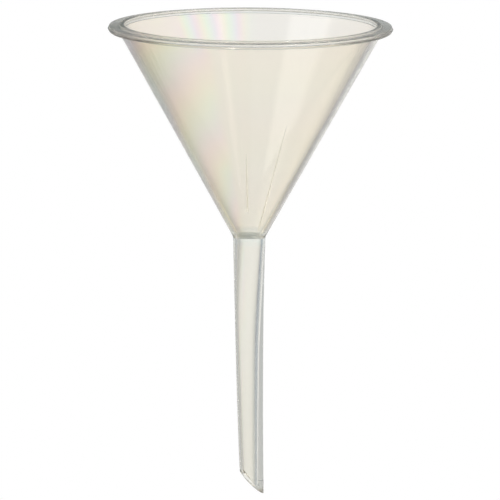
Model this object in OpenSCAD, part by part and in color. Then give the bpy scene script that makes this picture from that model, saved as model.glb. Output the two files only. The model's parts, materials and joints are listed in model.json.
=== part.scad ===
// Laboratory filling funnel: a clear moulded 58 degree cone with an upright
// collar and a flat flange at the mouth, and a long tapered stem cut off at a
// slant. +Z runs up the axis, and z = 0 is the level of the stem's lowest point.

/* [Mouth and rim] */
// Inner diameter of the upright collar at the mouth
mouth_d = 100; // [80:1:120]
// Height of the collar's inner face, above the cone
collar_h = 2.1; // [1.6:0.1:4]
// Wall of the upright collar
collar_wall = 1.8; // [1.2:0.1:2]
// How far the collar stands above the flange
lip_rise = 0.6; // [0.3:0.1:1]
// How far the flange reaches out from the mouth
flange_reach = 6; // [5:0.5:10]
// Thickness of the flange
flange_t = 2.1; // [1.6:0.1:3]
// Rounding on the edges of the collar and the flange
edge_round = 0.3; // [0.2:0.05:0.6]
// How far the parting ridge stands out of the flange's edge
ridge_out = 0.4; // [0.2:0.1:0.5]
// Height of the parting ridge at its foot
ridge_foot = 0.5; // [0.3:0.1:0.8]

/* [Cone] */
// Full angle of the cone's outer face, in degrees
cone_angle = 58; // [56:1:62]
// Wall of the cone, square to its faces
cone_wall = 2.3; // [1.8:0.1:2.4]

/* [Neck and stem] */
// Outer diameter where the cone meets the stem
neck_d = 12.9; // [12:0.1:15]
// Length of the stem, from the neck to its lowest point
stem_len = 105; // [80:1:150]
// Outer diameter of the stem where its two tapers meet
stem_mid_d = 11.6; // [10.5:0.1:11.8]
// Height above the tip at which the two tapers meet
stem_mid_z = 76; // [50:1:76]
// Outer diameter of the stem at its tip
tip_d = 9.3; // [8.5:0.1:10.4]
// Diameter of the bore at the tip
bore_tip_d = 4.7; // [4:0.1:6]
// Diameter of the bore where its two tapers meet
bore_mid_d = 6.9; // [6.2:0.1:8]
// Height above the tip at which the bore's two tapers meet
bore_mid_z = 59; // [40:1:76]
// Diameter of the bore at the neck
bore_neck_d = 9.6; // [9:0.1:10]
// Slant of the cut across the tip, in degrees from level
bevel_angle = 45; // [30:5:60]
// Height of the neck ring above and below the neck
neck_ring_half = 3; // [3:0.1:4]
// Radius of the fillet outside the neck
neck_fillet = 3; // [2:0.5:4]
// Radius of the rounding where the bowl runs into the bore
inner_round = 1.2; // [0.6:0.1:1.6]

/* [Vent ribs] */
// Width of a vent rib
rib_w = 0.5; // [0.4:0.1:1]
// How far a vent rib stands out of the cone
rib_out = 0.3; // [0.2:0.05:0.5]
// Length of the long rib, up from the neck
long_rib_h = 47; // [20:1:50]
// Turn of the long rib from +X, in degrees
long_rib_turn = -57; // [-180:1:180]
// Gap under the short rib, above the neck
short_rib_gap = 12; // [5:1:20]
// Height that the short rib covers
short_rib_h = 26; // [10:1:36]
// Turn of the short rib from +X, in degrees
short_rib_turn = -85; // [-180:1:180]

/* [Hidden] */
$fn = 180;

half_angle = cone_angle / 2;
mouth_r = mouth_d / 2;
neck_r = neck_d / 2;
// Wall of the cone, measured level
level_wall = cone_wall / cos(half_angle);
cone_top_r = mouth_r + level_wall;
cone_h = (cone_top_r - neck_r) / tan(half_angle);
neck_z = stem_len;
collar_z = neck_z + cone_h;
top_z = collar_z + collar_h;
ring_top_z = neck_z + neck_ring_half;
ring_low_z = neck_z - neck_ring_half;
flange_top_z = top_z - lip_rise;
flange_low_z = flange_top_z - flange_t;
flange_r = mouth_r + flange_reach;
lip_r = mouth_r + collar_wall;
tip_r = tip_d / 2;
stem_mid_r = stem_mid_d / 2;
bore_tip_r = bore_tip_d / 2;
bore_mid_r = bore_mid_d / 2;
bore_neck_r = bore_neck_d / 2;
// Lean of the bore's upper taper, in degrees from the axis
bore_lean = atan((bore_neck_r - bore_mid_r) / (neck_z - bore_mid_z));
// Height at which the bowl's inner face meets the bore, a little above the neck
corner_z = neck_z + (bore_neck_r - neck_r + level_wall) / (tan(half_angle) - tan(bore_lean));
// Extra length that lets a cutting shape pass right through
clear = 1;

// Radius of the cone's outer face at height z
function cone_out(z) = neck_r + (z - neck_z) * tan(half_angle);

// Radius of the cone's inner face at height z
function cone_in(z) = cone_out(z) - level_wall;

// Radius of the stem's outer face at height z, over two straight tapers
function stem_out(z) = z < stem_mid_z
    ? tip_r + (stem_mid_r - tip_r) * z / stem_mid_z
    : stem_mid_r + (neck_r - stem_mid_r) * (z - stem_mid_z) / (neck_z - stem_mid_z);

// Radius of the bore at height z, over two straight tapers
function stem_in(z) = z < bore_mid_z
    ? bore_tip_r + (bore_mid_r - bore_tip_r) * z / bore_mid_z
    : bore_mid_r + (bore_neck_r - bore_mid_r) * (z - bore_mid_z) / (neck_z - bore_mid_z);

// A flat ring section from radius r0 to r1 and height z0 to z1, with its outer corners rounded
module rounded_outer(r0, r1, z0, z1, r) {
    translate([r0, z0 + r]) square([r1 - r0, z1 - z0 - 2 * r]);
    translate([r0, z0]) square([r1 - r0 - r, z1 - z0]);
    for (z = [z0 + r, z1 - r]) translate([r1 - r, z]) circle(r, $fn = 48);
}

// Thin bowl below the mouth; it carries everything else
module cone() {
    color([0.90, 0.88, 0.84, 0.45])
    rotate_extrude()
    polygon([
        [cone_in(ring_top_z), ring_top_z],
        [cone_out(ring_top_z), ring_top_z],
        [cone_top_r, collar_z],
        [mouth_r, collar_z]
    ]);
}

// Upright ring that carries the bowl's wall on above the cone, rounded on top
module rim_collar() {
    crest_r = collar_wall / 2 - edge_round;
    color([0.80, 0.80, 0.77, 0.55])
    rotate_extrude()
    union() {
        translate([mouth_r, collar_z]) square([collar_wall, collar_h - edge_round]);
        translate([mouth_r + edge_round, collar_z]) square([2 * crest_r, collar_h]);
        for (r = [mouth_r + edge_round, lip_r - edge_round])
            translate([r, top_z - edge_round]) circle(edge_round, $fn = 48);
    }
}

// Flat ring round the mouth, with the mould's parting ridge on its edge
module rim_flange() {
    mid_z = (flange_top_z + flange_low_z) / 2;
    color([0.72, 0.72, 0.69, 0.6])
    rotate_extrude()
    difference() {
        union() {
            rounded_outer(lip_r, flange_r, flange_low_z, flange_top_z, edge_round);
            polygon([
                [lip_r, mid_z - ridge_foot / 2],
                [flange_r, mid_z - ridge_foot / 2],
                [flange_r + ridge_out, mid_z],
                [flange_r, mid_z + ridge_foot / 2],
                [lip_r, mid_z + ridge_foot / 2]
            ]);
        }
        // Room for the head of the cone, which the flange wraps
        polygon([
            [mouth_r, flange_low_z - clear],
            [cone_out(flange_low_z - clear), flange_low_z - clear],
            [cone_top_r, collar_z],
            [mouth_r, collar_z]
        ]);
    }
}

// Short transition that joins the cone to the stem, with a fillet outside and a rounded corner inside
module neck_ring() {
    // The fillet touches both faces this far from their corner
    reach = neck_fillet * tan(half_angle / 2);
    fillet = [for (t = [0 : 1 / 8 : 1])
        let (turn = t * half_angle)
        [neck_r + neck_fillet * (1 - cos(turn)), neck_z - reach + neck_fillet * sin(turn)]];
    // The rounding touches the bore this far below the corner
    drop = inner_round * tan((half_angle - bore_lean) / 2) * cos(bore_lean);
    foot_z = corner_z - drop;
    round_r = stem_in(foot_z) - inner_round * cos(bore_lean);
    round_z = foot_z + inner_round * sin(bore_lean);
    rounding = [for (t = [0 : 1 / 8 : 1])
        let (turn = half_angle + (bore_lean - half_angle) * t)
        [round_r + inner_round * cos(turn), round_z - inner_round * sin(turn)]];
    color([0.66, 0.70, 0.69, 0.6])
    rotate_extrude()
    polygon(concat(
        [[stem_out(ring_low_z), ring_low_z]],
        fillet,
        [[cone_out(ring_top_z), ring_top_z], [cone_in(ring_top_z), ring_top_z]],
        rounding,
        [[stem_in(ring_low_z), ring_low_z]]
    ));
}

// Long tapered tube, cut off at a slant whose low point is on +X
module stem() {
    cut = 4 * tip_d;
    color([0.89, 0.88, 0.83, 0.5])
    difference() {
        rotate_extrude()
        polygon([
            [stem_in(0), 0],
            [tip_r, 0],
            [stem_mid_r, stem_mid_z],
            [stem_out(ring_low_z), ring_low_z],
            [stem_in(ring_low_z), ring_low_z]
        ]);
        translate([tip_r, 0, 0])
        rotate([0, bevel_angle, 0])
        translate([-cut, -tip_d, -cut])
        cube([cut, 2 * tip_d, cut]);
    }
}

// A fine raised rib on the cone's outer face, from height z0 to z1, turned from +X
module vent_rib(z0, z1, turn) {
    color([0.62, 0.61, 0.58, 0.7])
    intersection() {
        rotate_extrude()
        polygon([
            [cone_out(z0), z0],
            [cone_out(z0) + rib_out, z0 + rib_out],
            [cone_out(z1 - rib_out) + rib_out, z1 - rib_out],
            [cone_out(z1), z1]
        ]);
        rotate([0, 0, turn])
        translate([0, -rib_w / 2, z0 - clear])
        cube([flange_r, rib_w, z1 - z0 + 2 * clear]);
    }
}

module vent_rib_long() {
    vent_rib(ring_top_z, ring_top_z + long_rib_h, long_rib_turn);
}

module vent_rib_short() {
    low_z = neck_z + short_rib_gap;
    vent_rib(low_z, low_z + short_rib_h, short_rib_turn);
}

cone();
rim_collar();
rim_flange();
neck_ring();
stem();
vent_rib_long();
vent_rib_short();
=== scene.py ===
"""Looks of a clear moulded laboratory funnel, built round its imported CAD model."""

import json
import math

import bpy
from mathutils import Matrix, Vector


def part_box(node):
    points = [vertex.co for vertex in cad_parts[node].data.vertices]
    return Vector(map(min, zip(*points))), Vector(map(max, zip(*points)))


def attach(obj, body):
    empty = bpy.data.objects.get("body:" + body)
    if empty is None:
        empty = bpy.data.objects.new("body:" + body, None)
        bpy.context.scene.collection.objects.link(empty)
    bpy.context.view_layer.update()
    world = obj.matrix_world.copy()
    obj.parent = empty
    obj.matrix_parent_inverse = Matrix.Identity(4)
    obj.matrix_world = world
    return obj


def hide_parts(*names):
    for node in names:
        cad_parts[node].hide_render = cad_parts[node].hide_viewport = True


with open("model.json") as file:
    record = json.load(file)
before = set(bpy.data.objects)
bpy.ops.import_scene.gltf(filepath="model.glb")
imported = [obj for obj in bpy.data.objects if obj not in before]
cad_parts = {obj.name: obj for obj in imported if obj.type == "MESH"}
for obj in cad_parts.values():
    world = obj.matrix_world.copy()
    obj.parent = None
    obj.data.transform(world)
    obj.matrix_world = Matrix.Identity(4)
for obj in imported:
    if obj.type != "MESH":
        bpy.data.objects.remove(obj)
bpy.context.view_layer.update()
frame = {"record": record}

MM = 0.001
TURN = 2 * math.pi

# ---------------------------------------------------------------- sizes, from the frame

AROUND = 288  # vertices round each ring
mouth = next(m for m in frame["record"]["mounts"] if m["name"] == "mouth")
mouth_r = mouth["dims"]["r_mm"] * MM


def reach(node):
    """Largest radius, lowest and highest level of a round CAD node."""
    low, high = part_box(node)
    return high.x, low.z, high.z


cone_r, ring_top_z, collar_z = reach("cone")
lip_r, _, top_z = reach("rim_collar")
ridge_r, flange_low_z, flange_top_z = reach("rim_flange")
ring_r, ring_low_z, _ = reach("neck_ring")
stem_top_r, tip_z, _ = reach("stem")

EDGE = 0.3 * MM  # rounding on the collar and the flange
RIDGE = 0.4 * MM  # how far the parting ridge stands out
RIDGE_FOOT = 0.5 * MM  # height of the parting ridge at its foot
CONE_WALL = 2.3 * MM  # square to the cone's faces, the same all the way up
BORE_TIP_R = 2.35 * MM
BORE_MID_R = 3.45 * MM
BORE_MID_Z = 59 * MM
BORE_NECK_R = 4.8 * MM
BORE_OFF = -0.8 * MM  # the core stood this far off centre in the lower stem
TIP_R = 4.65 * MM
STEM_MID_R = 5.8 * MM
STEM_MID_Z = 76 * MM
BEVEL = math.radians(45)
CUT_ROUND = 0.12 * MM  # the moulded edge of the slanted cut
FILLET = 3 * MM  # outside the neck
INNER_ROUND = 1.2 * MM  # radius where the bowl runs into the bore
BOW = 1.75 * MM  # how far the tip of this copy's stem has warped sideways
RIB_WIDTH = 0.6 * MM
RIB_RISE = 0.32 * MM  # how far a vent rib stands out of the cone
CREASE = math.radians(24)  # faces that meet at a larger angle keep a sharp edge

flange_r = ridge_r - RIDGE
cone_slope = (cone_r - ring_r) / (collar_z - ring_top_z)
half_angle = math.atan(cone_slope)
neck_z = (ring_low_z + ring_top_z) / 2
neck_r = ring_r - (ring_top_z - neck_z) * cone_slope
wall_across = CONE_WALL / math.cos(half_angle)
bore_slope = (BORE_NECK_R - BORE_MID_R) / (neck_z - BORE_MID_Z)


def cone_out(z):
    """Radius of the cone's outer face."""
    return neck_r + (z - neck_z) * cone_slope


def cone_in(z):
    """Radius of the cone's inner face."""
    return cone_out(z) - wall_across


def stem_out(z):
    """Radius of the stem's outer face, over two straight tapers."""
    if z < STEM_MID_Z:
        return TIP_R + (STEM_MID_R - TIP_R) * z / STEM_MID_Z
    return STEM_MID_R + (neck_r - STEM_MID_R) * (z - STEM_MID_Z) / (neck_z - STEM_MID_Z)


def stem_in(z):
    """Bore radius: it narrows faster than the outside towards the tip."""
    if z < BORE_MID_Z:
        return BORE_TIP_R + (BORE_MID_R - BORE_TIP_R) * z / BORE_MID_Z
    return BORE_MID_R + (BORE_NECK_R - BORE_MID_R) * (z - BORE_MID_Z) / (neck_z - BORE_MID_Z)


def bow(z):
    """Sideways shift of the stem's centre line at height z."""
    share = max(0.0, (neck_z - z) / neck_z)
    return BOW * share ** 2


def bore_shift(z):
    """How far the bore lies off the stem's own centre line at height z."""
    share = min(1.0, max(0.0, (ring_low_z - z) / (ring_low_z - BORE_MID_Z)))
    return BORE_OFF * math.sin(share * math.pi / 2)


# ---------------------------------------------------------------- mesh tools


def line(start, end, steps):
    """Points from start to end, without the last one."""
    return [tuple(a + (b - a) * i / steps for a, b in zip(start, end)) for i in range(steps)]


def arc(centre, radius, start, end, steps):
    """Points on an arc about centre, both ends included; angles in degrees from +r."""
    turns = [math.radians(start + (end - start) * i / steps) for i in range(steps + 1)]
    return [(centre[0] + radius * math.cos(t), centre[1] + radius * math.sin(t)) for t in turns]


def mesh_piece(name, verts, faces, bonded):
    """A closed piece; bonded is the set of faces that touch another piece of the same moulding."""
    mesh = bpy.data.meshes.new(name)
    mesh.from_pydata([Vector(v) for v in verts], [], faces)
    piece = bpy.data.objects.new(name, mesh)
    bpy.context.scene.collection.objects.link(piece)
    for index, polygon in enumerate(mesh.polygons):
        polygon.material_index = 1 if index in bonded else 0
        polygon.use_smooth = True
    mesh.set_sharp_from_angle(angle=CREASE)
    mesh.validate()
    return piece


def lathe(name, outline, contact=()):
    """Turns a closed outline of (r, z) points round the axis; contact lists its bonded edges."""
    count = len(outline)
    verts = [(r * math.cos(TURN * i / AROUND), r * math.sin(TURN * i / AROUND), z)
             for i in range(AROUND) for r, z in outline]
    faces, bonded = [], set()
    for i in range(AROUND):
        here, there = i * count, (i + 1) % AROUND * count
        for k in range(count):
            after = (k + 1) % count
            if k in contact:
                bonded.add(len(faces))
            faces.append((here + k, there + k, there + after, here + after))
    return mesh_piece(name, verts, faces, bonded)


# ---------------------------------------------------------------- pieces


def make_cone():
    """The bowl's wall, bonded to the neck below and to the rim above."""
    rows = 40
    low, high = ring_top_z, collar_z
    outline = line((cone_in(low), low), (cone_out(low), low), 3)
    contact = {0, 1, 2}
    outline += line((cone_out(low), low), (cone_out(flange_low_z), flange_low_z), rows)
    top = len(outline)
    outline += [(cone_out(flange_low_z), flange_low_z)]
    outline += line((cone_out(high), high), (mouth_r, high), 3)
    contact |= {top, top + 1, top + 2, top + 3}
    outline += line((mouth_r, high), (cone_in(low), low), rows)
    return lathe("cone_wall", outline, contact)


def make_collar():
    """Upright band at the mouth, with both upper edges rounded."""
    outline = line((mouth_r, collar_z), (lip_r, collar_z), 3)
    outline += [(lip_r, collar_z)]
    outline += arc((lip_r - EDGE, top_z - EDGE), EDGE, 0, 90, 8)
    outline += arc((mouth_r + EDGE, top_z - EDGE), EDGE, 90, 180, 8)
    return lathe("collar_ring", outline, {0, 1, 2, 3})


def make_flange():
    """Flat ring round the collar, with the parting ridge on its edge."""
    mid_z = (flange_top_z + flange_low_z) / 2
    tip = 0.12  # share of the ridge that is rounded off at its crest
    outline = line((cone_out(flange_low_z), flange_low_z), (flange_r - EDGE, flange_low_z), 4)
    outline += arc((flange_r - EDGE, flange_low_z + EDGE), EDGE, -90, 0, 8)
    outline += [(flange_r, mid_z - RIDGE_FOOT / 2), (ridge_r - tip * RIDGE, mid_z - tip * RIDGE_FOOT / 2),
                (ridge_r, mid_z),
                (ridge_r - tip * RIDGE, mid_z + tip * RIDGE_FOOT / 2), (flange_r, mid_z + RIDGE_FOOT / 2)]
    outline += arc((flange_r - EDGE, flange_top_z - EDGE), EDGE, 0, 90, 8)
    # a hollow rounding leads up to the collar's rounded edge
    rise = top_z - EDGE - flange_top_z
    outline += arc((lip_r + rise, flange_top_z + rise), rise, 270, 180, 8)
    first = len(outline) - 1
    outline += [(lip_r, collar_z), (cone_out(collar_z), collar_z)]
    return lathe("flange_ring", outline, {first, first + 1, first + 2})


def make_neck():
    """Short ring where cone and stem meet, with a fillet outside and a rounding inside."""
    low, high = ring_low_z, ring_top_z
    spread = math.degrees(half_angle)
    drop = FILLET * math.tan(half_angle / 2)
    outline = line((stem_in(low), low), (stem_out(low), low), 3)
    contact = {0, 1, 2}
    outline += [(stem_out(low), low)]
    outline += arc((neck_r + FILLET, neck_z - drop), FILLET, 180, 180 - spread, 10)
    top = len(outline)
    outline += line((cone_out(high), high), (cone_in(high), high), 3)
    contact |= {top, top + 1, top + 2}
    outline += [(cone_in(high), high)]
    # the bowl's inner face runs into the bore above the outer corner, with a small rounding
    corner_z = neck_z + (BORE_NECK_R - cone_in(neck_z)) / (cone_slope - bore_slope)
    corner_r = cone_in(corner_z)
    half_bend = (half_angle - math.atan(bore_slope)) / 2
    back = INNER_ROUND * math.tan(half_bend)
    lean = math.atan(bore_slope)
    first = (corner_r + back * math.sin(half_angle), corner_z + back * math.cos(half_angle))
    last = (corner_r - back * math.sin(lean), corner_z - back * math.cos(lean))
    middle = (last[0] - INNER_ROUND * math.cos(lean), last[1] + INNER_ROUND * math.sin(lean))
    steps = 8
    outline += line((cone_in(high), high), first, 4)[1:]
    for k in range(steps + 1):
        angle = half_angle + (lean - half_angle) * k / steps
        outline += [(middle[0] + INNER_ROUND * math.cos(angle), middle[1] - INNER_ROUND * math.sin(angle))]
    outline += line(last, (stem_in(low), low), 8)[1:]
    return lathe("neck_joint", outline, contact)


def cut_height(x):
    """Height of the slanted cut at sideways place x, before the stem's bow."""
    return (TIP_R - x) * math.tan(BEVEL)


def meet_cut(radius_at, off_centre, across):
    """Height at which the wall line of one azimuth meets the slanted cut."""
    z = TIP_R
    for _ in range(30):
        z = cut_height(off_centre * bore_shift(z) + radius_at(z) * across)
    return z


def make_stem():
    """Tapered tube cut at a slant; each azimuth has the same points, down the outside and up the bore."""
    rows = 60
    verts, faces, bonded = [], [], set()
    section = 0
    for i in range(AROUND):
        turn = TURN * i / AROUND
        across, along = math.cos(turn), math.sin(turn)
        outer_end = meet_cut(stem_out, 0.0, across)
        inner_end = meet_cut(stem_in, 1.0, across)
        points = []
        for k in range(rows):
            z = ring_low_z + (outer_end + CUT_ROUND - ring_low_z) * k / (rows - 1)
            points.append((stem_out(z) * across, stem_out(z) * along, z))
        start = Vector((stem_out(outer_end) * across, stem_out(outer_end) * along, outer_end))
        bore_x = bore_shift(inner_end) + stem_in(inner_end) * across
        end = Vector((bore_x, stem_in(inner_end) * along, inner_end))
        for share in (0.06, 0.2, 0.4, 0.6, 0.8, 0.94):
            points.append(tuple(start.lerp(end, share)))
        for k in range(rows):
            z = inner_end + CUT_ROUND + (ring_low_z - inner_end - CUT_ROUND) * k / (rows - 1)
            points.append((bore_shift(z) + stem_in(z) * across, stem_in(z) * along, z))
        section = len(points)
        verts += [(x + bow(z), y, z) for x, y, z in points]
    for i in range(AROUND):
        here, there = i * section, (i + 1) % AROUND * section
        for k in range(section):
            after = (k + 1) % section
            if k == section - 1:
                bonded.add(len(faces))
            faces.append((here + k, here + after, there + after, there + k))
    return mesh_piece("stem_tube", verts, faces, bonded)


def make_rib(name, node):
    """A fine rib on the cone's outer face, where the CAD node is, with a rounded crest."""
    low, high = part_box(node)
    middle = (low + high) / 2
    turn = math.atan2(middle.y, middle.x)
    rows, steps = 40, 6
    out = Vector((math.cos(turn), math.sin(turn), 0))
    across = Vector((-out.y, out.x, 0))
    verts, faces, bonded = [], [], set()
    for k in range(rows + 1):
        share = k / rows
        z = low.z + (high.z - low.z) * share
        # rounded at both ends, and a quarter as big at the top as at the foot
        taper = min(1.0, 12 * share, 12 * (1 - share)) ** 0.5 * (1 - 0.75 * share)
        taper = max(taper, 0.02)
        for j in range(steps + 1):
            angle = math.pi * j / steps
            side = math.cos(angle) * RIB_WIDTH / 2 * taper
            lift = math.sin(angle) * RIB_RISE * taper
            radius = math.sqrt(max(cone_out(z) ** 2 - side ** 2, 0)) + lift
            verts.append(out * radius + across * side + Vector((0, 0, z)))
    ring = steps + 1
    for k in range(rows):
        for j in range(steps):
            a = k * ring + j
            faces.append((a, a + 1, a + ring + 1, a + ring))
        bonded.add(len(faces))
        faces.append((k * ring + steps, k * ring, (k + 1) * ring, (k + 1) * ring + steps))
    faces.append(tuple(range(ring))[::-1])
    faces.append(tuple(rows * ring + j for j in range(ring)))
    return mesh_piece(name, verts, faces, bonded)


# ---------------------------------------------------------------- materials


class Graph:
    """Short helpers that add nodes to one tree."""

    def __init__(self, tree):
        self.nodes, self.links = tree.nodes, tree.links

    def feed(self, socket, value):
        if hasattr(value, "is_output"):
            self.links.new(value, socket)
        else:
            socket.default_value = value

    def maths(self, operation, *values):
        node = self.nodes.new("ShaderNodeMath")
        node.operation = operation
        for socket, value in zip(node.inputs, values):
            self.feed(socket, value)
        return node.outputs[0]

    def ease(self, value, start, end, low=0.0, high=1.0):
        """Goes smoothly from low to high while value goes from start to end."""
        node = self.nodes.new("ShaderNodeMapRange")
        node.interpolation_type = "SMOOTHSTEP"
        names = ("Value", "From Min", "From Max", "To Min", "To Max")
        for name, item in zip(names, (value, start, end, low, high)):
            self.feed(node.inputs[name], item)
        return node.outputs["Result"]

    def noise(self, vector, scale, detail=2.0, distortion=0.0):
        node = self.nodes.new("ShaderNodeTexNoise")
        names = ("Vector", "Scale", "Detail", "Distortion")
        for name, item in zip(names, (vector, scale, detail, distortion)):
            self.feed(node.inputs[name], item)
        return node.outputs[0]

    def combine(self, kind, *parts):
        """Joins three values into a vector or a colour; kind is the node's name."""
        node = self.nodes.new(kind)
        for socket, value in zip(node.inputs, parts):
            self.feed(socket, value)
        return node.outputs[0]


WARMTH = (0.0, 0.02, 0.04)  # how much of red, green and blue the wall takes away on the sides
SHADE = 0.16  # painted shade: how much of every colour the front loses at its upper left, standing in for the darker light there
COLOUR_LAGS = (0.0, 2.1, 4.2)  # a third of a wave between red, green and blue
FRONT_Y = -6 * MM  # the front's pattern changes into the back's between these two places
BACK_Y = 6 * MM
FRONT_RATE, BACK_RATE = 7.0, 34.0  # how fast the colours wave round the wall
FRONT_SLANT, BACK_SLANT = 200.0, -15.0  # how fast they wave down the wall, per metre
BACK_START = 0.8  # turn from the -X side at which the back's waves start
WAVES_END = 1.5  # turn at which all waves round the wall end
REFRACTION = 1.463  # index of polymethylpentene


def around(graph, place):
    """A place on the funnel as its y, its z and its turn round the axis, which is 0 on the -X side."""
    split = graph.nodes.new("ShaderNodeSeparateXYZ")
    graph.feed(split.inputs[0], place)
    x, y, z = split.outputs
    return y, z, graph.maths("ARCTAN2", y, graph.maths("MULTIPLY", x, -1))


def moulded_colour_and_painted_shade(graph, place, tint, stress):
    """The tint, with pastel stress fringes: narrow ones inside the back, broad patches on the front; and
    painted shade that darkens the front's upper left.
    """
    y, z, turn = around(graph, place)
    side = graph.maths("ABSOLUTE", turn)
    depth = graph.maths("SUBTRACT", collar_z, z)
    # the fringes' phase runs round the wall and down it, and wanders a little
    least = graph.ease(y, FRONT_Y, BACK_Y, -BACK_START, 0.0)
    swing = graph.maths("SUBTRACT", graph.maths("MINIMUM", side, WAVES_END), BACK_START)
    swing = graph.maths("MAXIMUM", swing, least)
    rate = graph.ease(y, FRONT_Y, BACK_Y, FRONT_RATE, BACK_RATE)
    slant = graph.ease(y, FRONT_Y, BACK_Y, FRONT_SLANT, BACK_SLANT)
    slant = graph.maths("MULTIPLY", depth, slant)
    drift = graph.maths("MULTIPLY_ADD", graph.noise(place, 34, 2, 0.5), 3.0, -1.2)
    phase = graph.maths("MULTIPLY_ADD", swing, rate, graph.maths("ADD", drift, slant))
    # they fade towards the middle, and on the back also a short way below the collar
    amount = graph.maths("MULTIPLY", graph.ease(side, 1.46, 1.3, 0.1, 1.0), stress)
    fade = graph.ease(depth, 6 * MM, 17 * MM, 1.0, 0.05)
    share = graph.maths("MAXIMUM", fade, graph.ease(y, FRONT_Y, BACK_Y, 0.8, 0.0))
    amount = graph.maths("MULTIPLY", amount, share)
    warm = graph.maths("ADD", graph.ease(side, 1.5, 0.2), graph.ease(side, 1.8, 2.9, 0.0, 0.5))
    # painted shade: the front's upper left is darkened in every colour, standing in for less light falling
    # there
    shade = graph.maths("MULTIPLY", graph.ease(depth, 55 * MM, 5 * MM), graph.ease(y, BACK_Y, FRONT_Y))
    shade = graph.maths("MULTIPLY", shade, graph.ease(side, 1.3, 0.6, 0.0, SHADE))
    channels = []
    for channel, lag, dye in zip(tint, COLOUR_LAGS, WARMTH):
        wave = graph.maths("COSINE", graph.maths("SUBTRACT", phase, lag))
        gain = graph.maths("MULTIPLY_ADD", wave, amount, 1.0)
        gain = graph.maths("SUBTRACT", graph.maths("MULTIPLY_ADD", warm, -dye, gain), shade)
        channels.append(graph.maths("MULTIPLY", gain, channel))
    return graph.combine("ShaderNodeCombineColor", *channels)


def moulded_surface(graph, place, ripple):
    """Normals of a moulded face, with flow lines that run up it and fine ripples across it."""
    _, z, turn = around(graph, place)
    along = graph.combine("ShaderNodeCombineXYZ", graph.maths("MULTIPLY", turn, 30.0), 0.0,
                          graph.maths("MULTIPLY", z, 40))
    streaks = graph.noise(along, 1, 2)
    ripples = graph.noise(place, 90, 1)
    bump = graph.nodes.new("ShaderNodeBump")
    bump.inputs["Strength"].default_value = ripple
    bump.inputs["Distance"].default_value = 0.2 * MM
    graph.feed(bump.inputs["Height"], graph.maths("MULTIPLY_ADD", streaks, 0.5, ripples))
    return bump.outputs[0]


def plastic(name, tint, haze, roughness, stress, ripple, milky=None):
    """Clear, faintly milky plastic.

    stress is the strength of the pastel stress colours, and ripple that of the waves in its surface.
    milky gives two heights between which it turns milkier, and how much milkier.
    """
    mat = bpy.data.materials.new(name)
    mat.use_nodes = True
    graph = Graph(mat.node_tree)
    shader = graph.nodes["Principled BSDF"]
    place = graph.nodes.new("ShaderNodeTexCoord").outputs["Object"]
    graph.feed(shader.inputs["Base Color"], moulded_colour_and_painted_shade(graph, place, tint, stress))
    grain = graph.noise(place, 160, 3)
    graph.feed(shader.inputs["Roughness"], graph.maths("MULTIPLY_ADD", grain, 0.06, roughness))
    clearness = graph.maths("SUBTRACT", 1.0, haze)
    if milky:
        _, z, _ = around(graph, place)
        from_z, to_z, extra = milky
        clearness = graph.maths("SUBTRACT", clearness, graph.ease(z, from_z, to_z, 0.0, extra))
    graph.feed(shader.inputs["Transmission Weight"], clearness)
    shader.inputs["IOR"].default_value = REFRACTION
    graph.feed(shader.inputs["Normal"], moulded_surface(graph, place, ripple))
    return mat


def bonded_material():
    """Fully clear, for the faces where two pieces of the moulding meet inside solid plastic."""
    mat = bpy.data.materials.new("bonded_face")
    mat.use_nodes = True
    nodes, links = mat.node_tree.nodes, mat.node_tree.links
    nodes.remove(nodes["Principled BSDF"])
    clear = nodes.new("ShaderNodeBsdfTransparent")
    links.new(clear.outputs[0], nodes["Material Output"].inputs["Surface"])
    return mat


wall_plastic = plastic("clear_plastic_wall", tint=(0.98, 0.953, 0.9), haze=0.035, roughness=0.03,
                       stress=0.042, ripple=0.15)
rim_plastic = plastic("clear_plastic_rim", tint=(0.985, 0.985, 0.965), haze=0.08, roughness=0.12,
                      stress=0.012, ripple=0.04)
neck_plastic = plastic("clear_plastic_neck", tint=(0.98, 0.99, 0.965), haze=0.02, roughness=0.03,
                       stress=0.012, ripple=0.05, milky=(neck_z - 1 * MM, neck_z, 0.13))
stem_plastic = plastic("clear_plastic_stem", tint=(0.995, 0.982, 0.942), haze=0.02, roughness=0.03,
                       stress=0.03, ripple=0.1, milky=(75 * MM, 5 * MM, 0.05))
looks = {
    "rim_collar": rim_plastic,
    "rim_flange": rim_plastic,
    "neck_ring": neck_plastic,
    "stem": stem_plastic,
}
bonded_face = bonded_material()
pieces = {
    "cone": make_cone(),
    "rim_collar": make_collar(),
    "rim_flange": make_flange(),
    "neck_ring": make_neck(),
    "stem": make_stem(),
    "vent_rib_long": make_rib("long_vent_rib", "vent_rib_long"),
    "vent_rib_short": make_rib("short_vent_rib", "vent_rib_short"),
}
for node, piece in pieces.items():
    piece.data.materials.append(looks.get(node, wall_plastic))
    piece.data.materials.append(bonded_face)
    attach(piece, "root")
    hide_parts(node)

# ---------------------------------------------------------------- studio


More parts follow.
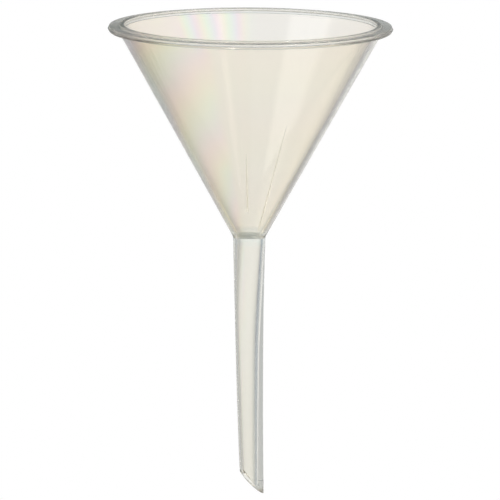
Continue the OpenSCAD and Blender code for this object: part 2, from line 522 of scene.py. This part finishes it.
def studio():
    """Soft studio, laid out as the camera sees it, so every side of the funnel is shown in the same light."""
    world = bpy.data.worlds.new("studio")
    bpy.context.scene.world = world
    world.use_nodes = True
    graph = Graph(world.node_tree)
    split = graph.nodes.new("ShaderNodeSeparateXYZ")
    graph.feed(split.inputs[0], graph.nodes.new("ShaderNodeTexCoord").outputs["Camera"])
    x, y, z = split.outputs
    azimuth = graph.maths("MULTIPLY", graph.maths("ARCTAN2", x, z), 180 / math.pi)
    elevation = graph.maths("MULTIPLY", graph.maths("ARCSINE", y), 180 / math.pi)

    def panel(az0, az1, el0, el1, edge):
        """A soft-edged rectangle; angles in degrees from the line of sight."""
        share = graph.maths("MULTIPLY", graph.ease(azimuth, az0 - edge, az0 + edge),
                            graph.ease(azimuth, az1 + edge, az1 - edge))
        rise = graph.maths("MULTIPLY", graph.ease(elevation, el0 - edge, el0 + edge),
                           graph.ease(elevation, el1 + edge, el1 - edge))
        return graph.maths("MULTIPLY", share, rise)

    totals = [0.51, 0.53, 0.535]  # the pale room

    def add(share, *colour):
        """Adds a share of a colour to the light from each direction; a negative colour takes light away."""
        for index, level in enumerate(colour):
            totals[index] = graph.maths("MULTIPLY_ADD", share, level, totals[index])

    # bright backdrop, with a soft left edge and a slower fall to the right
    across = graph.maths("MULTIPLY", graph.ease(azimuth, -18, -2), graph.ease(azimuth, 43, 9))
    upright = graph.maths("MULTIPLY", graph.ease(elevation, 14, 8), graph.ease(elevation, -24, -4))
    backdrop = graph.maths("MULTIPLY", across, upright)
    add(backdrop, 0.34, 0.33, 0.32)
    add(graph.maths("MULTIPLY", backdrop, graph.ease(elevation, 0, 5)), 0.08, 0.08, 0.08)
    # darker gap between the backdrop and the ceiling
    add(panel(-30, 30, 12, 27, 5), -0.36, -0.35, -0.35)
    # dimmer, cooler wall to the right
    aside = graph.maths("MULTIPLY", graph.ease(azimuth, 25, 50), panel(-10, 120, -9, 6, 6))
    add(aside, -0.13, -0.09, -0.04)
    # darker foot of that wall, which draws the cone's right edge
    add(panel(12, 75, -25, -10, 2), -0.23, -0.23, -0.18)
    # warm table, brighter towards the right
    below = graph.ease(elevation, -8, -30)
    add(below, 0.16, 0.1, -0.04)
    add(graph.maths("MULTIPLY", below, graph.ease(azimuth, 10, 60)), 0.3, 0.3, 0.28)
    # warm fills high up on both sides
    add(panel(-100, -22, 16, 45, 7), 0.36, 0.3, 0.22)
    add(panel(22, 180, 16, 45, 7), 0.28, 0.22, 0.14)
    # behind the camera: a softbox on the left, a strip lamp on the right with a dimmer one above it
    add(panel(-141, -96, 30, 60, 4), 1.3, 1.3, 1.3)
    add(panel(144, 152, 6, 22, 2), 26, 26, 26)
    add(panel(145, 153, 36, 52, 2), 0.9, 0.9, 0.9)
    # a slightly brighter room on the camera's side
    add(graph.ease(z, 0.2, -0.6), 0.1, 0.1, 0.1)
    # the camera itself sees plain white
    seen = graph.nodes.new("ShaderNodeLightPath").outputs["Is Camera Ray"]
    unseen = graph.maths("SUBTRACT", 1.0, seen)
    channels = [graph.maths("MULTIPLY_ADD", total, unseen, seen) for total in totals]
    colour = graph.combine("ShaderNodeCombineColor", *channels)
    graph.feed(graph.nodes["Background"].inputs["Color"], colour)


def floor():
    """Plain pale floor: white to the camera, and clear to all other light."""
    reach_out = 12.0
    mesh = bpy.data.meshes.new("floor")
    corners = [(x * reach_out, y * reach_out, 0) for x, y in ((-1, -1), (1, -1), (1, 1), (-1, 1))]
    mesh.from_pydata(corners, [], [(0, 1, 2, 3)])
    obj = bpy.data.objects.new("floor", mesh)
    obj.location.z = -0.5 * MM
    bpy.context.scene.collection.objects.link(obj)
    mat = bpy.data.materials.new("pale_floor")
    mat.use_nodes = True
    nodes, links = mat.node_tree.nodes, mat.node_tree.links
    nodes.remove(nodes["Principled BSDF"])
    glow = nodes.new("ShaderNodeEmission")
    clear = nodes.new("ShaderNodeBsdfTransparent")
    mix = nodes.new("ShaderNodeMixShader")
    path = nodes.new("ShaderNodeLightPath")
    links.new(path.outputs["Is Camera Ray"], mix.inputs[0])
    links.new(clear.outputs[0], mix.inputs[1])
    links.new(glow.outputs[0], mix.inputs[2])
    links.new(mix.outputs[0], nodes["Material Output"].inputs["Surface"])
    mesh.materials.append(mat)


def camera():
    """Long lens, a little above the mouth, looking down at the whole funnel."""
    data = bpy.data.cameras.new("camera")
    obj = bpy.data.objects.new("camera", data)
    bpy.context.scene.collection.objects.link(obj)
    distance = 1.664  # from the funnel's axis, measured level
    rise = 0.4086
    turn = math.radians(8)
    roll = math.radians(0.33)
    data.sensor_width = 36
    data.lens = 305.2
    aim = Vector((0, 0, 0.0995))  # just above half the funnel's height
    obj.location = (distance * math.sin(turn), -distance * math.cos(turn), rise)
    look = (aim - obj.location).to_track_quat("-Z", "Y").to_matrix().to_4x4()
    obj.matrix_world = Matrix.Translation(obj.location) @ look @ Matrix.Rotation(roll, 4, "Z")
    data.shift_x = 0.0016
    data.clip_start = 0.01
    data.clip_end = 50
    bpy.context.scene.camera = obj


studio()
floor()
camera()
scene = bpy.context.scene
scene.view_settings.view_transform = "Standard"
# light crosses and turns inside thick clear walls many times, so the limits are high
scene.cycles.max_bounces = 200
scene.cycles.diffuse_bounces = 8
scene.cycles.glossy_bounces = 200
scene.cycles.transmission_bounces = 200
scene.cycles.transparent_max_bounces = 400
